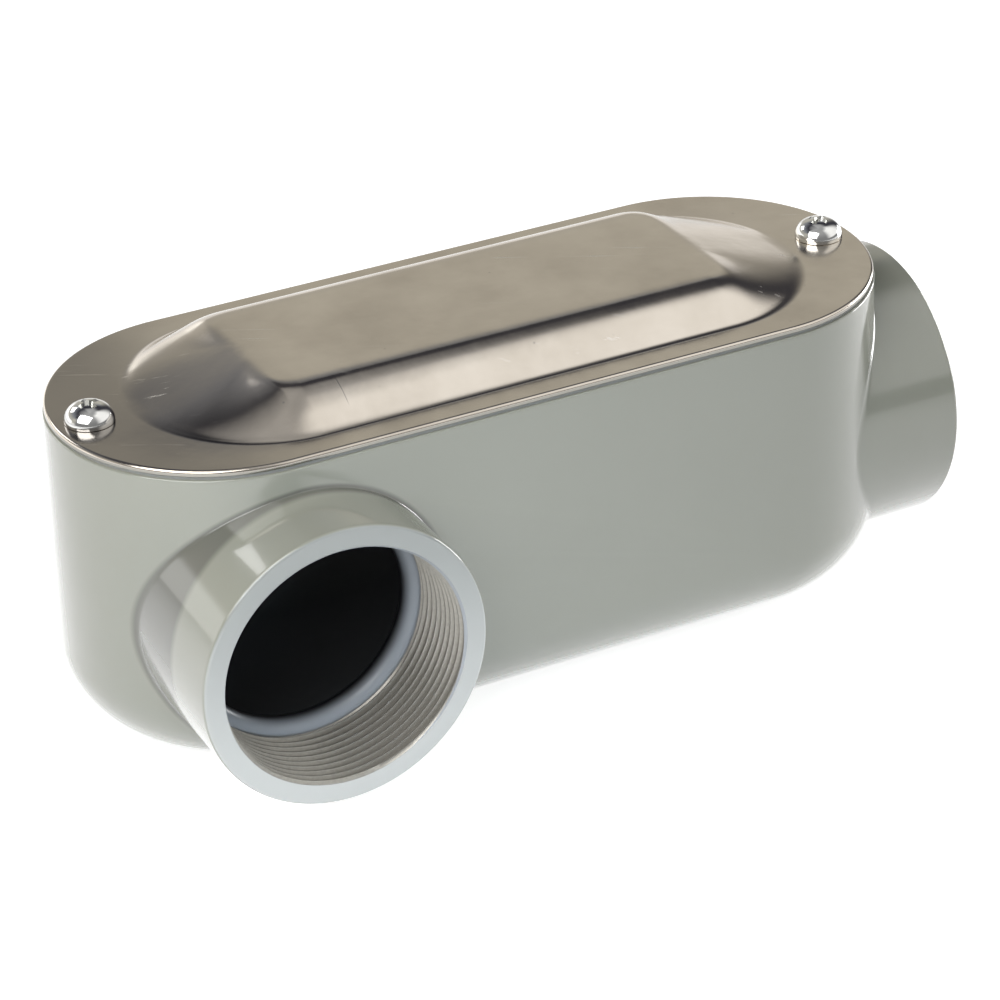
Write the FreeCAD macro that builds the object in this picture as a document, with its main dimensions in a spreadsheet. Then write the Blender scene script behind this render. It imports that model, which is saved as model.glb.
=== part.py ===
import FreeCAD, Part
import math
import os
import Sketcher

# Cast conduit body with one threaded hub in its side and one in its end, a stamped cover,
# a flat gasket and two cover screws. The back lies on z = 0, the body's long axis is X,
# the end hub points to +X, the side hub to -Y and the cover to +Z.

doc = FreeCAD.newDocument("ConduitBody")
sizes = doc.addObject("Spreadsheet::Sheet", "Sizes")

# Lengths in millimetres and angles in degrees; an entry that starts with "=" follows others
drivingSizes = [
    # hubs, for conduit of trade size 2
    ("thread_radius", 28.45),
    ("thread_depth", 22.6),
    ("mouth_chamfer", 0.8),
    ("bushing_radius", 25.8),
    ("bushing_length", 6.0),
    ("bushing_lip", 2.0),
    ("passage_length", 10.0),
    ("hub_wall", 5.45),
    ("hub_radius", "=thread_radius + hub_wall"),
    ("hub_edge", 1.0),
    ("hub_blend", 2.0),
    # casting
    ("rim_width", 79.6),
    ("rim_length", 204.9),
    ("back_margin", 3.1),
    ("rim_margin", 5.9),
    ("hub_axis_height", "=back_margin + hub_radius"),
    ("casting_height", "=hub_axis_height + hub_radius + rim_margin"),
    ("wall_draft", 0.84),
    ("base_round", 20.0),
    ("wall", 4.0),
    ("floor_thickness", 4.0),
    ("core_chamfer", 9.4),
    ("side_hub_inset", 40.85),
    ("side_hub_from_middle", "=rim_length / 2 - side_hub_inset"),
    ("side_hub_reach", 19.3),
    ("side_hub_face", "=rim_width / 2 + side_hub_reach"),
    ("end_hub_reach", 10.75),
    ("end_hub_face", "=rim_length / 2 + end_hub_reach"),
    # cover screws and their bosses
    ("screw_inset", 8.45),
    ("screw_spacing", "=rim_length - 2 * screw_inset"),
    ("screw_radius", 3.15),
    ("screw_length", 9.5),
    ("screw_tip_chamfer", 0.7),
    ("head_radius", 5.7),
    ("head_height", 4.6),
    ("head_skirt", 0.6),
    ("head_shoulder_radius", 4.4),
    ("head_shoulder_height", 2.7),
    ("head_crown_radius", 2.2),
    ("head_crown_height", 4.2),
    ("recess_depth", 2.4),
    ("recess_width", 1.4),
    ("recess_span", 5.6),
    ("screw_running_gap", 0.1),
    ("screw_end_gap", 1.2),
    ("screw_hole_gap", 0.45),
    ("boss_radius", 7.5),
    ("boss_depth", 15.0),
    ("boss_taper_angle", 14.0),
    # gasket
    ("gasket_thickness", 0.8),
    ("gasket_setback", 0.8),
    ("gasket_land", 6.8),
    ("gasket_end_land", 8.0),
    # cover
    ("cover_sheet", 1.4),
    ("cover_setback", 0.3),
    ("panel_side_margin", 7.8),
    ("panel_end_margin", 5.3),
    ("panel_width", "=rim_width - 2 * panel_side_margin"),
    ("panel_length", "=screw_spacing - 2 * (head_radius + panel_end_margin)"),
    ("panel_height", 7.4),
    ("panel_flank_angle", 40.0),
    ("panel_ramp_run", 25.5),
    ("panel_ramp_angle", 12.7),
    ("panel_shoulder", 9.0),
    ("panel_foot", 1.0),
    ("panel_underside", 2.0),
]
for row, (alias, value) in enumerate(drivingSizes, start=1):
    sizes.set(f"A{row}", alias)
    sizes.set(f"B{row}", str(value))
    sizes.setAlias(f"B{row}", alias)
doc.recompute()

upward = FreeCAD.Vector(0, 0, 1)
quarterTurn = math.pi / 2
closeEnough = 0.01
gasketTop = "#casting_height + #gasket_thickness"
coverTop = gasketTop + " + #cover_sheet"


def size(alias):
    return float(sizes.get(alias))


# Binds properties to expressions over the sheet, where "#" stands for "Sizes."
def bind(feature, **expressions):
    for name, expression in expressions.items():
        feature.setExpression(name.replace("__", "."), expression.replace("#", "Sizes."))


def originPlane(body, role):
    return next(plane for plane in body.Origin.OriginFeatures if plane.Role == role)


def newSketch(body, name, role, offset="0"):
    sketch = body.newObject("Sketcher::SketchObject", name)
    sketch.AttachmentSupport = [(originPlane(body, role), "")]
    sketch.MapMode = "FlatFace"
    bind(sketch, AttachmentOffset__Base__z=offset)
    return sketch


def addSize(sketch, constraint, name, expression):
    index = sketch.addConstraint(constraint)
    sketch.renameConstraint(index, name)
    bind(sketch, **{f"Constraints__{name}": expression})


# A stadium: two straight sides joined by half circles, centred on the sketch's origin
def drawStadium(sketch, length, width):
    radius, centre = 30.0, 60.0
    left, right = FreeCAD.Vector(-centre, 0), FreeCAD.Vector(centre, 0)
    side = FreeCAD.Vector(0, radius)
    first = sketch.GeometryCount
    rightEnd = Part.Circle(right, upward, radius)
    leftEnd = Part.Circle(left, upward, radius)
    sketch.addGeometry(Part.LineSegment(left + side, right + side))
    sketch.addGeometry(Part.ArcOfCircle(rightEnd, -quarterTurn, quarterTurn))
    sketch.addGeometry(Part.LineSegment(right - side, left - side))
    sketch.addGeometry(Part.ArcOfCircle(leftEnd, quarterTurn, 3 * quarterTurn))
    top, rightArc, bottom, leftArc = range(first, first + 4)
    for line, lineEnd, arc, arcEnd in (
        (top, 2, rightArc, 2),
        (bottom, 1, rightArc, 1),
        (bottom, 2, leftArc, 2),
        (top, 1, leftArc, 1),
    ):
        sketch.addConstraint(Sketcher.Constraint("Tangent", line, lineEnd, arc, arcEnd))
    sketch.addConstraint(Sketcher.Constraint("Equal", rightArc, leftArc))
    sketch.addConstraint(Sketcher.Constraint("PointOnObject", rightArc, 3, -1))
    sketch.addConstraint(Sketcher.Constraint("Symmetric", rightArc, 3, leftArc, 3, -1, 1))
    endRadius = Sketcher.Constraint("Radius", rightArc, radius)
    addSize(sketch, endRadius, f"endRadius{first}", f"({width}) / 2")
    spacing = Sketcher.Constraint("DistanceX", leftArc, 3, rightArc, 3, 2 * centre)
    addSize(sketch, spacing, f"centreSpacing{first}", f"({length}) - ({width})")


# A circle whose centre lies at (across, up) in the sketch
def drawCircle(sketch, across, up, radius):
    index = sketch.GeometryCount
    sketch.addGeometry(Part.Circle(FreeCAD.Vector(1, 1), upward, 1))
    for kind, name, expression in (("DistanceX", "across", across), ("DistanceY", "up", up)):
        place = Sketcher.Constraint(kind, -1, 1, index, 3, 1)
        addSize(sketch, place, f"{name}{index}", expression)
    addSize(sketch, Sketcher.Constraint("Radius", index, 1), f"radius{index}", radius)


# A triangle above one end's ramp, which starts at (reach, top) and runs down and outward
def drawRamp(sketch, side, top, reach):
    first = sketch.GeometryCount
    end = size("panel_length") / 2
    inward, high = end - size("panel_ramp_run"), size("casting_height") + size("panel_height")
    drop = size("panel_ramp_run") * math.tan(math.radians(size("panel_ramp_angle")))
    start = FreeCAD.Vector(side * inward, high)
    outer = FreeCAD.Vector(side * end, high)
    low = FreeCAD.Vector(side * end, high - drop)
    for one, other in ((start, outer), (outer, low), (low, start)):
        sketch.addGeometry(Part.LineSegment(one, other))
    for number in range(3):
        following = first + (number + 1) % 3
        sketch.addConstraint(Sketcher.Constraint("Coincident", first + number, 2, following, 1))
    sketch.addConstraint(Sketcher.Constraint("Horizontal", first))
    sketch.addConstraint(Sketcher.Constraint("Vertical", first + 1))
    sign = "-" if side < 0 else ""
    across = Sketcher.Constraint("DistanceX", -1, 1, first, 1, start.x)
    addSize(sketch, across, f"reach{first}", f"{sign}({reach})")
    up = Sketcher.Constraint("DistanceY", -1, 1, first, 1, high)
    addSize(sketch, up, f"top{first}", top)
    outward = Sketcher.Constraint("DistanceX", -1, 1, first, 2, outer.x)
    addSize(sketch, outward, f"end{first}", f"{sign}#panel_length / 2")
    fall = Sketcher.Constraint("DistanceY", first + 1, 2, first + 1, 1, drop)
    addSize(sketch, fall, f"fall{first}", f"(#panel_length / 2 - ({reach})) * tan(#panel_ramp_angle)")


# A closed profile of straight lines beside the sketch's vertical axis, drawn roughly and then
# sized corner by corner
def drawProfile(sketch, points):
    count = len(points)
    places = [FreeCAD.Vector(1 + number, number**2) for number in range(count)]
    for number, place in enumerate(places):
        sketch.addGeometry(Part.LineSegment(place, places[(number + 1) % count]))
    for number, (across, up) in enumerate(points):
        join = Sketcher.Constraint("Coincident", number, 2, (number + 1) % count, 1)
        sketch.addConstraint(join)
        place = places[number]
        toRight = Sketcher.Constraint("DistanceX", -1, 1, number, 1, place.x)
        addSize(sketch, toRight, f"across{number}", across)
        above = Sketcher.Constraint("DistanceY", -1, 1, number, 1, place.y)
        addSize(sketch, above, f"up{number}", up)


# A rectangle centred on (across, 0)
def drawBox(sketch, across, length, width):
    first = sketch.GeometryCount
    corners = [FreeCAD.Vector(*at) for at in ((-1, -1), (1, -1), (1, 1), (-1, 1))]
    for number, corner in enumerate(corners):
        sketch.addGeometry(Part.LineSegment(corner, corners[(number + 1) % 4]))
    for number, direction in enumerate(("Horizontal", "Vertical") * 2):
        following = first + (number + 1) % 4
        sketch.addConstraint(Sketcher.Constraint("Coincident", first + number, 2, following, 1))
        sketch.addConstraint(Sketcher.Constraint(direction, first + number))
    for kind, name, end, expression in (
        ("DistanceX", "left", (-1, 1, first, 1, -1), f"{across} - {length} / 2"),
        ("DistanceY", "low", (-1, 1, first, 1, -1), f"-{width} / 2"),
        ("DistanceX", "length", (first, 1, first, 2, 2), length),
        ("DistanceY", "width", (first + 1, 1, first + 1, 2, 2), width),
    ):
        addSize(sketch, Sketcher.Constraint(kind, *end), name, expression)


# One circle at either cover screw
def screwSketch(body, name, level, radius):
    sketch = newSketch(body, name, "XY_Plane", level)
    for side in ("-", ""):
        drawCircle(sketch, side + "#screw_spacing / 2", "0", radius)
    return sketch


def newBody(label):
    body = doc.addObject("PartDesign::Body", label)
    body.Label = label
    return body


def addPad(body, sketch, length, taper="0", reverse=False):
    pad = body.newObject("PartDesign::Pad", sketch.Name + "Pad")
    pad.Profile = sketch
    pad.Reversed = reverse
    bind(pad, Length=length, TaperAngle=taper)
    doc.recompute()
    return pad


def addPocket(body, sketch, length, midplane=False):
    before = body.Shape.Volume
    pocket = body.newObject("PartDesign::Pocket", sketch.Name + "Pocket")
    pocket.Profile = sketch
    pocket.Midplane = midplane
    bind(pocket, Length=length)
    doc.recompute()
    if body.Shape.Volume > before - closeEnough:
        raise ValueError(pocket.Name + " cuts nothing")
    return pocket


# The names of a feature's edges whose every sampled point passes the test
def edgesWhere(feature, test):
    names = []
    for number, edge in enumerate(feature.Shape.Edges, start=1):
        points = edge.discretize(5)
        if all(test(point) for point in points):
            names.append(f"Edge{number}")
    if not names:
        raise ValueError("no edge found on " + feature.Name)
    return names


def addRound(body, name, radius, edges, kind="PartDesign::Fillet"):
    base = body.Tip
    rounding = body.newObject(kind, name)
    rounding.Base = (base, edges)
    bind(rounding, **{"Radius" if kind.endswith("Fillet") else "Size": radius})
    doc.recompute()
    return rounding


def combine(body, tool, kind):
    before = body.Shape.Volume
    result = body.newObject("PartDesign::Boolean", tool.Name + kind)
    result.Type = kind
    result.setObjects([tool])
    doc.recompute()
    if abs(body.Shape.Volume - before) < closeEnough:
        raise ValueError(tool.Name + " changes nothing")


sideHub = {
    "role": "XZ_Plane",
    "across": "-#side_hub_from_middle",
    "face": "#side_hub_face",
    "shoulder": "#side_hub_face - #thread_depth",
    "ringEnd": "#side_hub_face - #thread_depth - #bushing_length",
    "alias": "side_hub_face",
    "outward": FreeCAD.Vector(0, -1, 0),
    "onAxis": FreeCAD.Vector(-size("side_hub_from_middle"), 0, size("hub_axis_height")),
}
endHub = {
    "role": "YZ_Plane",
    "across": "0",
    "face": "#end_hub_face",
    "shoulder": "#end_hub_face - #thread_depth",
    "ringEnd": "#end_hub_face - #thread_depth - #bushing_length",
    "alias": "end_hub_face",
    "outward": FreeCAD.Vector(1, 0, 0),
    "onAxis": FreeCAD.Vector(0, 0, size("hub_axis_height")),
}


# Whether a point lies at a given radius about a hub's axis, and how far out along it
def aboutHub(hub, point):
    fromAxis = point - hub["onAxis"]
    along = fromAxis.dot(hub["outward"])
    return (fromAxis - hub["outward"] * along).Length, along


def hubSketch(body, hub, name, offset, radius):
    sketch = newSketch(body, name, hub["role"], offset)
    drawCircle(sketch, hub["across"], "#hub_axis_height", radius)
    return sketch


# Edges of the hub's outside cylinder, on its face or where it meets the walls
def hubEdges(body, hub, onFace):
    face = size(hub["alias"])

    def isHubEdge(point):
        radius, along = aboutHub(hub, point)
        atFace = abs(along - face) < closeEnough
        return abs(radius - size("hub_radius")) < closeEnough and atFace == onFace

    return edgesWhere(body.Tip, isHubEdge)


# The core of one hub: the thread's plain bore, the bushing ring's rounded throat and the way
# into the chamber
def buildHubCore(hub, name):
    core = newBody(name + "Core")
    ringEnd, shoulder, face = hub["ringEnd"], hub["shoulder"], hub["face"]
    inside = ringEnd + " - #passage_length"
    throat = "#passage_length + #bushing_length"
    lip = "#bushing_lip"
    for step, start, radius, length, taper in (
        ("Passage", inside, "#thread_radius", "#passage_length", "0"),
        ("Throat", inside, "#bushing_radius", throat, "0"),
        ("InnerLip", ringEnd, "#bushing_radius + " + lip, lip, "-45"),
        ("OuterLip", f"{shoulder} - {lip}", "#bushing_radius", lip, "45"),
        ("Thread", shoulder, "#thread_radius", "#thread_depth", "0"),
        ("Mouth", face + " - #mouth_chamfer", "#thread_radius", "#mouth_chamfer", "45"),
    ):
        addPad(core, hubSketch(core, hub, name + step, start, radius), length, taper)
    return core


# The core that leaves the wiring chamber open at the rim
def buildChamberCore():
    core = newBody("chamberCore")
    outline = newSketch(core, "coreOutline", "XY_Plane", "#floor_thickness")
    drawStadium(outline, "#rim_length - 2 * #wall", "#rim_width - 2 * #wall")
    addPad(core, outline, "#casting_height")
    onFloor = edgesWhere(core.Tip, lambda point: abs(point.z - size("floor_thickness")) < closeEnough)
    addRound(core, "coreChamfer", "#core_chamfer", onFloor, "PartDesign::Chamfer")
    return core


def buildCasting():
    body = newBody("body_casting")
    rim = newSketch(body, "rimOutline", "XY_Plane", "#casting_height")
    drawStadium(rim, "#rim_length", "#rim_width")
    addPad(body, rim, "#casting_height", "#wall_draft", reverse=True)
    onBase = edgesWhere(body.Tip, lambda point: abs(point.z) < closeEnough)
    addRound(body, "baseRound", "#base_round", onBase)

    for hub, name in ((sideHub, "sideHub"), (endHub, "endHub")):
        addPad(body, hubSketch(body, hub, name, "0", "#hub_radius"), hub["face"])
        onWall = hubEdges(body, hub, onFace=False)
        addRound(body, name + "Blend", "#hub_blend", onWall, "PartDesign::Chamfer")
        onFace = hubEdges(body, hub, onFace=True)
        addRound(body, name + "Edge", "#hub_edge", onFace, "PartDesign::Chamfer")

    combine(body, buildChamberCore(), "Cut")
    for hub, name in ((sideHub, "sideHub"), (endHub, "endHub")):
        ring = hubSketch(body, hub, name + "Ring", hub["ringEnd"], "#hub_radius")
        addPad(body, ring, "#bushing_length + #wall")

    bosses = screwSketch(body, "bosses", "#casting_height", "#boss_radius")
    addPad(body, bosses, "#boss_depth", "-#boss_taper_angle", reverse=True)
    for hub, name in ((sideHub, "sideHub"), (endHub, "endHub")):
        combine(body, buildHubCore(hub, name), "Cut")
    holes = screwSketch(body, "castingHoles", "#casting_height", "#screw_radius + #screw_running_gap")
    addPocket(body, holes, "#screw_length - #cover_sheet - #gasket_thickness + #screw_end_gap")
    return body


def buildGasket():
    body = newBody("cover_gasket")
    outline = newSketch(body, "gasketOutline", "XY_Plane", "#casting_height")
    drawStadium(outline, "#rim_length - 2 * #gasket_setback", "#rim_width - 2 * #gasket_setback")
    addPad(body, outline, "#gasket_thickness")
    opening = newSketch(body, "gasketOpening", "XY_Plane", gasketTop)
    drawStadium(opening, "#screw_spacing - 2 * #gasket_end_land", "#rim_width - 2 * #gasket_land")
    addPocket(body, opening, "#gasket_thickness")
    holes = screwSketch(body, "gasketHoles", gasketTop, "#screw_radius + #screw_hole_gap")
    addPocket(body, holes, "#gasket_thickness")
    return body


# The cover's raised panel as a solid standing on a level: sloping flanks all round and a flat
# top with a ramp down to either end. The inset narrows it and the ramp shift moves the ramps
# inward, which gives the underside of the pressed sheet.
def buildPanel(name, level, inset, rampShift):
    panel = newBody(name)
    outline = newSketch(panel, name + "Outline", "XY_Plane", level)
    drawStadium(outline, f"#panel_length - 2 * ({inset})", f"#panel_width - 2 * ({inset})")
    addPad(panel, outline, "#panel_height", "#panel_flank_angle - 90")
    ramps = newSketch(panel, name + "Ramps", "XZ_Plane")
    reach = f"#panel_length / 2 - #panel_ramp_run - ({rampShift})"
    for side in (-1, 1):
        drawRamp(ramps, side, f"{level} + #panel_height", reach)
    addPocket(panel, ramps, "2 * #panel_width", midplane=True)
    return panel


# The edges above a level, where the panel's flanks meet its top and ramps
def shoulderEdges(body, level):
    return edgesWhere(body.Tip, lambda point: point.z > level + closeEnough)


def buildCover():
    body = newBody("cover_plate")
    outline = newSketch(body, "coverOutline", "XY_Plane", gasketTop)
    drawStadium(outline, "#rim_length - 2 * #cover_setback", "#rim_width - 2 * #cover_setback")
    addPad(body, outline, "#cover_sheet")
    underLevel = size("casting_height") + size("gasket_thickness")
    topLevel = underLevel + size("cover_sheet")

    combine(body, buildPanel("panelOutside", coverTop, "0", "0"), "Fuse")
    reach = size("panel_length") / 2 + closeEnough

    def isFoot(point):
        inside = abs(point.x) < reach and abs(point.y) < size("panel_width") / 2 + closeEnough
        return inside and abs(point.z - topLevel) < closeEnough

    addRound(body, "panelFoot", "#panel_foot", edgesWhere(body.Tip, isFoot), "PartDesign::Chamfer")
    addRound(body, "panelShoulder", "#panel_shoulder", shoulderEdges(body, topLevel + size("panel_foot")))

    inset = "#cover_sheet * tan(#panel_flank_angle / 2)"
    rampShift = "#cover_sheet * tan(#panel_ramp_angle / 2)"
    underside = buildPanel("panelInside", gasketTop, inset, rampShift)
    onUnderside = shoulderEdges(underside, underLevel)
    addRound(underside, "undersideShoulder", "#panel_underside", onUnderside, "PartDesign::Chamfer")
    combine(body, underside, "Cut")
    holes = screwSketch(body, "coverHoles", coverTop, "#screw_radius + #screw_hole_gap")
    addPocket(body, holes, "#cover_sheet")
    return body


# A round-head screw with a cross recess, turned from one profile in one of the cover's holes
def buildScrew(label, across):
    body = newBody(label)
    profile = newSketch(body, label + "Profile", "XZ_Plane")
    bind(profile, AttachmentOffset__Base__x=across)
    tip = coverTop + " - #screw_length"
    drawProfile(
        profile,
        (
            ("0", tip),
            ("#screw_radius - #screw_tip_chamfer", tip),
            ("#screw_radius", tip + " + #screw_tip_chamfer"),
            ("#screw_radius", coverTop),
            ("#head_radius", coverTop),
            ("#head_radius", coverTop + " + #head_skirt"),
            ("#head_shoulder_radius", coverTop + " + #head_shoulder_height"),
            ("#head_crown_radius", coverTop + " + #head_crown_height"),
            ("0", coverTop + " + #head_height"),
        ),
    )
    turned = body.newObject("PartDesign::Revolution", label + "Turned")
    turned.Profile = profile
    turned.ReferenceAxis = (profile, ["V_Axis"])
    turned.Angle = 360
    doc.recompute()
    for name, length, width in (
        ("Slot", "#recess_span", "#recess_width"),
        ("CrossSlot", "#recess_width", "#recess_span"),
    ):
        slot = newSketch(body, label + name, "XY_Plane", coverTop + " + #head_height")
        drawBox(slot, across, length, width)
        addPocket(body, slot, "#recess_depth")
    return body


pieces = [
    buildCasting(),
    buildGasket(),
    buildCover(),
    buildScrew("cover_screw_left", "-#screw_spacing / 2"),
    buildScrew("cover_screw_right", "#screw_spacing / 2"),
]
doc.recompute()

for item in doc.Objects:
    if "Invalid" in item.State or "Error" in item.State:
        raise ValueError(f"{item.Name} did not build: {item.State}")
for piece in pieces:
    if piece.Shape.isNull() or not piece.Shape.isValid():
        raise ValueError(piece.Label + " is not a valid solid")

os.makedirs("parts", exist_ok=True)
for piece in pieces:
    piece.Shape.exportStep(f"parts/{piece.Label}.step")
    volume = piece.Shape.Volume / 1000
    print(f"{piece.Label}: {volume:.2f} cm3, {len(piece.Shape.Solids)} solid, {piece.Shape.BoundBox}")
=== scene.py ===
import math

import bmesh
import bpy
from mathutils import Matrix, Vector


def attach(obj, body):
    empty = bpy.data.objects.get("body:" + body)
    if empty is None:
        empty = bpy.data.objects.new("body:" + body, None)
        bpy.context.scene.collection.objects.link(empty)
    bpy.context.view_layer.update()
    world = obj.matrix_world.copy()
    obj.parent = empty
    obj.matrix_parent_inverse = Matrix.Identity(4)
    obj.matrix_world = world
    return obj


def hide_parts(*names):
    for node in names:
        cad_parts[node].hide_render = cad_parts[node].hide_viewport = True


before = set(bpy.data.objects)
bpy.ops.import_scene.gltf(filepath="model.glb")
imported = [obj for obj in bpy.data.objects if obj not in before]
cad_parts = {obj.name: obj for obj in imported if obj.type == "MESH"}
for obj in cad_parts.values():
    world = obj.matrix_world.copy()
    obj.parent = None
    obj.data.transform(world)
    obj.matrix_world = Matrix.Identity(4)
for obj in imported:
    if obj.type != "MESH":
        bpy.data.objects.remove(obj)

print("frame loaded")
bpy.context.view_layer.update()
toMetres = Matrix.Scale(0.001, 4)  # shapes are drawn in millimetres
upward = Vector((0, 0, 1))
fullTurn = 2 * math.pi


# Node trees

def addNode(tree, kind, inputs=None, **settings):
    node = tree.nodes.new(kind)
    for name, value in settings.items():
        setattr(node, name, value)
    for name, value in (inputs or {}).items():
        socket = node.inputs[name]
        if isinstance(value, bpy.types.NodeSocket):
            tree.links.new(value, socket)
        else:
            socket.default_value = value
    return node


def newGroup(name, inputs, outputs):
    group = bpy.data.node_groups.new(name, "ShaderNodeTree")
    for label, kind, value in inputs:
        socket = group.interface.new_socket(label, in_out="INPUT", socket_type=kind)
        if value is not None:
            socket.default_value = value
    for label, kind in outputs:
        group.interface.new_socket(label, in_out="OUTPUT", socket_type=kind)
    return group, group.nodes.new("NodeGroupInput"), group.nodes.new("NodeGroupOutput")


# Soft blotches, from 0 to 1, with a size in metres
def makeBlotchGroup():
    group, given, result = newGroup(
        "blotches",
        [
            ("Vector", "NodeSocketVector", None),
            ("Size", "NodeSocketFloat", 0.02),
            ("Contrast", "NodeSocketFloat", 1.0),
        ],
        [("Value", "NodeSocketFloat")],
    )
    scale = addNode(group, "ShaderNodeMath", {0: 1.0, 1: given.outputs["Size"]}, operation="DIVIDE")
    noise = addNode(
        group,
        "ShaderNodeTexNoise",
        {"Vector": given.outputs["Vector"], "Scale": scale.outputs[0], "Detail": 4.0, "Roughness": 0.55},
    )
    centred = addNode(group, "ShaderNodeMath", {0: noise.outputs["Fac"], 1: 0.5}, operation="SUBTRACT")
    spread = addNode(
        group,
        "ShaderNodeMath",
        {0: centred.outputs[0], 1: given.outputs["Contrast"], 2: 0.5},
        operation="MULTIPLY_ADD",
        use_clamp=True,
    )
    group.links.new(spread.outputs[0], result.inputs["Value"])
    return group


# Fine hairline scratches along one direction, as a mask and a height
def makeScratchGroup():
    group, given, result = newGroup(
        "scratches",
        [
            ("Vector", "NodeSocketVector", None),
            ("Turn", "NodeSocketFloat", 0.0),
            ("Density", "NodeSocketFloat", 900.0),
        ],
        [("Mask", "NodeSocketFloat"), ("Height", "NodeSocketFloat")],
    )
    turned = addNode(
        group,
        "ShaderNodeVectorRotate",
        {"Vector": given.outputs["Vector"], "Angle": given.outputs["Turn"]},
        rotation_type="Z_AXIS",
    )
    drawn = addNode(
        group,
        "ShaderNodeVectorMath",
        {0: turned.outputs[0], 1: (0.03, 1.0, 1.0)},
        operation="MULTIPLY",
    )
    lines = addNode(
        group,
        "ShaderNodeTexNoise",
        {"Vector": drawn.outputs[0], "Scale": given.outputs["Density"], "Detail": 2.0},
    )
    patches = addNode(
        group,
        "ShaderNodeTexNoise",
        {"Vector": given.outputs["Vector"], "Scale": 60.0, "Detail": 2.0},
    )
    few = addNode(
        group,
        "ShaderNodeMapRange",
        {"Value": lines.outputs["Fac"], "From Min": 0.66, "From Max": 0.74},
    )
    here = addNode(
        group,
        "ShaderNodeMapRange",
        {"Value": patches.outputs["Fac"], "From Min": 0.5, "From Max": 0.62},
    )
    mask = addNode(group, "ShaderNodeMath", {0: few.outputs[0], 1: here.outputs[0]}, operation="MULTIPLY")
    depth = addNode(group, "ShaderNodeMath", {0: mask.outputs[0], 1: -1.0}, operation="MULTIPLY")
    group.links.new(mask.outputs[0], result.inputs["Mask"])
    group.links.new(depth.outputs[0], result.inputs["Height"])
    return group


# Small scattered specks, as a mask
def makeSpeckGroup():
    group, given, result = newGroup(
        "specks",
        [("Vector", "NodeSocketVector", None), ("Cell", "NodeSocketFloat", 0.003)],
        [("Mask", "NodeSocketFloat")],
    )
    scale = addNode(group, "ShaderNodeMath", {0: 1.0, 1: given.outputs["Cell"]}, operation="DIVIDE")
    cells = addNode(
        group,
        "ShaderNodeTexVoronoi",
        {"Vector": given.outputs["Vector"], "Scale": scale.outputs[0]},
    )
    chance = addNode(group, "ShaderNodeSeparateXYZ", {0: cells.outputs["Color"]})
    size = addNode(
        group,
        "ShaderNodeMapRange",
        {"Value": chance.outputs["X"], "From Min": 0.6, "From Max": 1.0, "To Max": 0.11},
    )
    inside = addNode(
        group,
        "ShaderNodeMath",
        {0: size.outputs[0], 1: cells.outputs["Distance"]},
        operation="SUBTRACT",
    )
    mask = addNode(
        group,
        "ShaderNodeMapRange",
        {"Value": inside.outputs[0], "From Max": 0.05, "To Max": 0.7},
    )
    group.links.new(mask.outputs[0], result.inputs["Mask"])
    return group


blotches = makeBlotchGroup()
scratches = makeScratchGroup()
specks = makeSpeckGroup()


def placeGroup(tree, group, inputs):
    return addNode(tree, "ShaderNodeGroup", inputs, node_tree=group)


def startMaterial(name, **constants):
    material = bpy.data.materials.new(name)
    material.use_nodes = True
    tree = material.node_tree
    shader = tree.nodes["Principled BSDF"]
    for label, value in constants.items():
        shader.inputs[label.replace("_", " ")].default_value = value
    where = addNode(tree, "ShaderNodeTexCoord").outputs["Object"]
    return material, tree, shader, where


def mixColours(tree, factor, first, second):
    mix = addNode(tree, "ShaderNodeMix", {0: factor}, data_type="RGBA")
    mix.inputs[6].default_value = (*first, 1)
    mix.inputs[7].default_value = (*second, 1)
    return mix.outputs[2]


def blendColour(tree, factor, under, over):
    mix = addNode(tree, "ShaderNodeMix", {0: factor, 6: under}, data_type="RGBA")
    if isinstance(over, tuple):
        mix.inputs[7].default_value = (*over, 1)
    else:
        tree.links.new(over, mix.inputs[7])
    return mix.outputs[2]


def multiply(tree, first, second):
    return addNode(tree, "ShaderNodeMath", {0: first, 1: second}, operation="MULTIPLY").outputs[0]


def addBump(tree, shader, height, strength, distance):
    bump = addNode(
        tree,
        "ShaderNodeBump",
        {"Height": height, "Strength": strength, "Distance": distance},
    )
    tree.links.new(bump.outputs[0], shader.inputs["Normal"])


# A value turned into a mask that goes smoothly from 0 to 1 between two limits
def addRange(tree, value, low, high):
    return addNode(
        tree,
        "ShaderNodeMapRange",
        {"Value": value, "From Min": low, "From Max": high},
        interpolation_type="SMOOTHSTEP",
    ).outputs[0]


# The same between two places along one of the object's axes
def addBand(tree, where, axis, low, high):
    return addRange(tree, addNode(tree, "ShaderNodeSeparateXYZ", {0: where}).outputs[axis], low, high)


def addCloud(tree, where, size, contrast):
    return placeGroup(tree, blotches, {"Vector": where, "Size": size, "Contrast": contrast}).outputs[0]


# Roughness that follows a mask between two limits
def setRoughness(tree, shader, value, low, high):
    dull = addNode(tree, "ShaderNodeMapRange", {"Value": value, "To Min": low, "To Max": high})
    tree.links.new(dull.outputs[0], shader.inputs["Roughness"])


# A plain finish: fine grain between two colours and two roughnesses, with relief where it has one
def makeGrained(name, look, **constants):
    material, tree, shader, where = startMaterial(name, **constants)
    grain = addCloud(tree, where, *look["grain"])
    colour = mixColours(tree, grain, look["base"], look["shade"])
    tree.links.new(colour, shader.inputs["Base Color"])
    setRoughness(tree, shader, grain, *look["roughness"])
    if "relief" in look:
        addBump(tree, shader, grain, *look["relief"])
    return material


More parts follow.
